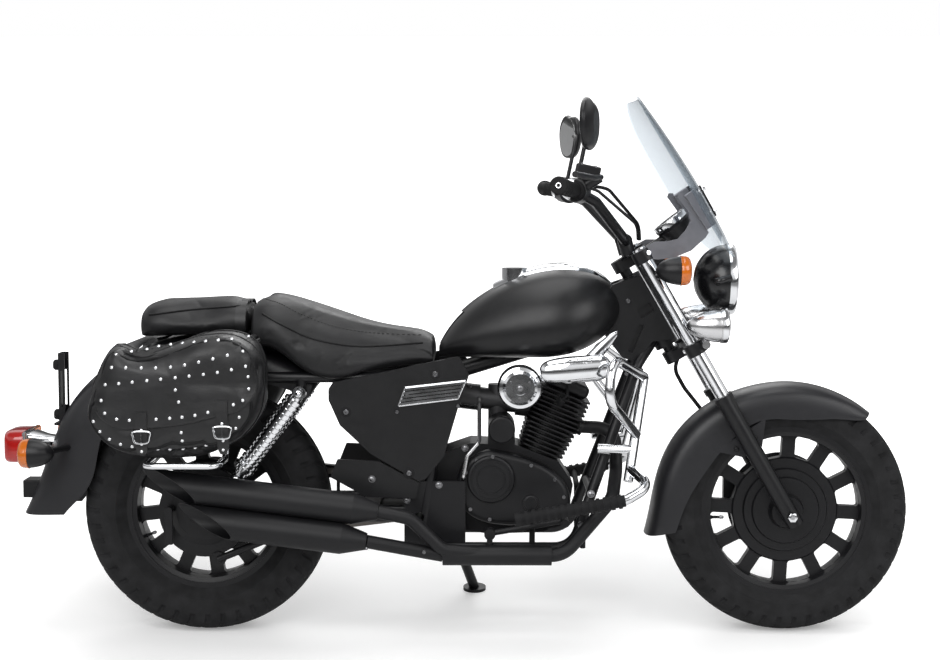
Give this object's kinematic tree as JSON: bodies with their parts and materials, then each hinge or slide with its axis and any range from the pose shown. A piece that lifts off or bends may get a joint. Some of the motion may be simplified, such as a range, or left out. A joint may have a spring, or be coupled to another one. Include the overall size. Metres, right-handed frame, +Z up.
{
  "type": "cruiser motorcycle",
  "caption": "Cruiser motorcycle with windscreen, studded saddlebags, crash bars, cast wheels and twin right-hand mufflers, leaning on its side stand.",
  "frame": {"origin": "centre of the bounding box's underside, on the floor", "axes": "+X forward, +Y to the rider's left, +Z up from the floor; the machine leans to +Y"},
  "size_m": [2.2349, 0.9148, 1.3368],
  "materials": {
    "black_paint": "satin black paint",
    "wheel_black": "black cast alloy",
    "engine_black": "black heat-proof paint",
    "chrome": "polished chrome",
    "grey_metal": "grey metal",
    "alloy": "cast alloy",
    "steel": "plain steel",
    "tyre": "tyre rubber",
    "rubber": "black rubber",
    "leather": "black leather",
    "clear": "clear screen"
  },
  "bodies": {
    "chassis": {"frame": "black_paint", "swingarm": "black_paint", "shocks": "chrome", "engine_cases": "engine_black", "engine_cylinder": "engine_black", "carburettor": "alloy", "engine_covers": "chrome", "mufflers": "engine_black", "exhaust_headers": "engine_black", "fuel_tank": "black_paint", "console": "chrome", "neck_cover": "black_paint", "seat": "leather", "pillion_pad": "leather", "rear_fender": "black_paint", "tail_lamp": "chrome", "plate_bracket": "black_paint", "rear_indicators": "black_paint", "side_covers": "black_paint", "side_grille": "chrome", "saddlebags": "leather", "bag_stays": "chrome", "crash_bars": "chrome", "foot_bars": "rubber", "foot_levers": "chrome", "brake_plate": "wheel_black", "drive_chain": "steel"},
    "steering": {"fork_clamps": "black_paint", "fork_tubes": "chrome", "fork_legs": "black_paint", "front_fender": "black_paint", "handlebar": "black_paint", "grips": "rubber", "hand_controls": "black_paint", "mirrors": "black_paint", "headlamp": "black_paint", "front_indicators": "black_paint", "spot_lamps": "grey_metal", "speedometer": "chrome", "windscreen": "clear", "screen_stays": "grey_metal", "front_calliper": "steel", "front_hose": "rubber", "bar_cables": "rubber"},
    "front_wheel_set": {"front_wheel": "wheel_black", "front_tyre": "tyre", "brake_disc": "steel"},
    "rear_wheel_set": {"rear_wheel": "wheel_black", "rear_tyre": "tyre", "rear_sprocket": "steel"},
    "stand": {"side_stand": "black_paint"}
  },
  "joints": [
    {"name": "steering_turn", "type": "hinge", "parent": "chassis", "child": "steering", "pos_m": [0.52103, -0.06513, 0.70718], "axis": [-0.5, 0.1055, 0.8596], "range_deg": [-40, 40]},
    {"name": "front_wheel_turn", "type": "hinge", "parent": "steering", "child": "front_wheel_set", "pos_m": [0.81547, -0.1151, 0.30024], "axis": [0, 0.9925, -0.1219], "continuous": true},
    {"name": "rear_wheel_turn", "type": "hinge", "parent": "chassis", "child": "rear_wheel_set", "pos_m": [-0.61897, -0.11449, 0.3052], "axis": [0, 0.9925, -0.1219], "continuous": true},
    {"name": "side_stand_fold", "type": "hinge", "parent": "chassis", "child": "stand", "pos_m": [-0.01897, 0.02675, 0.20827], "axis": [0, 0.9925, -0.1219], "range_deg": [0, 85]}
  ]
}
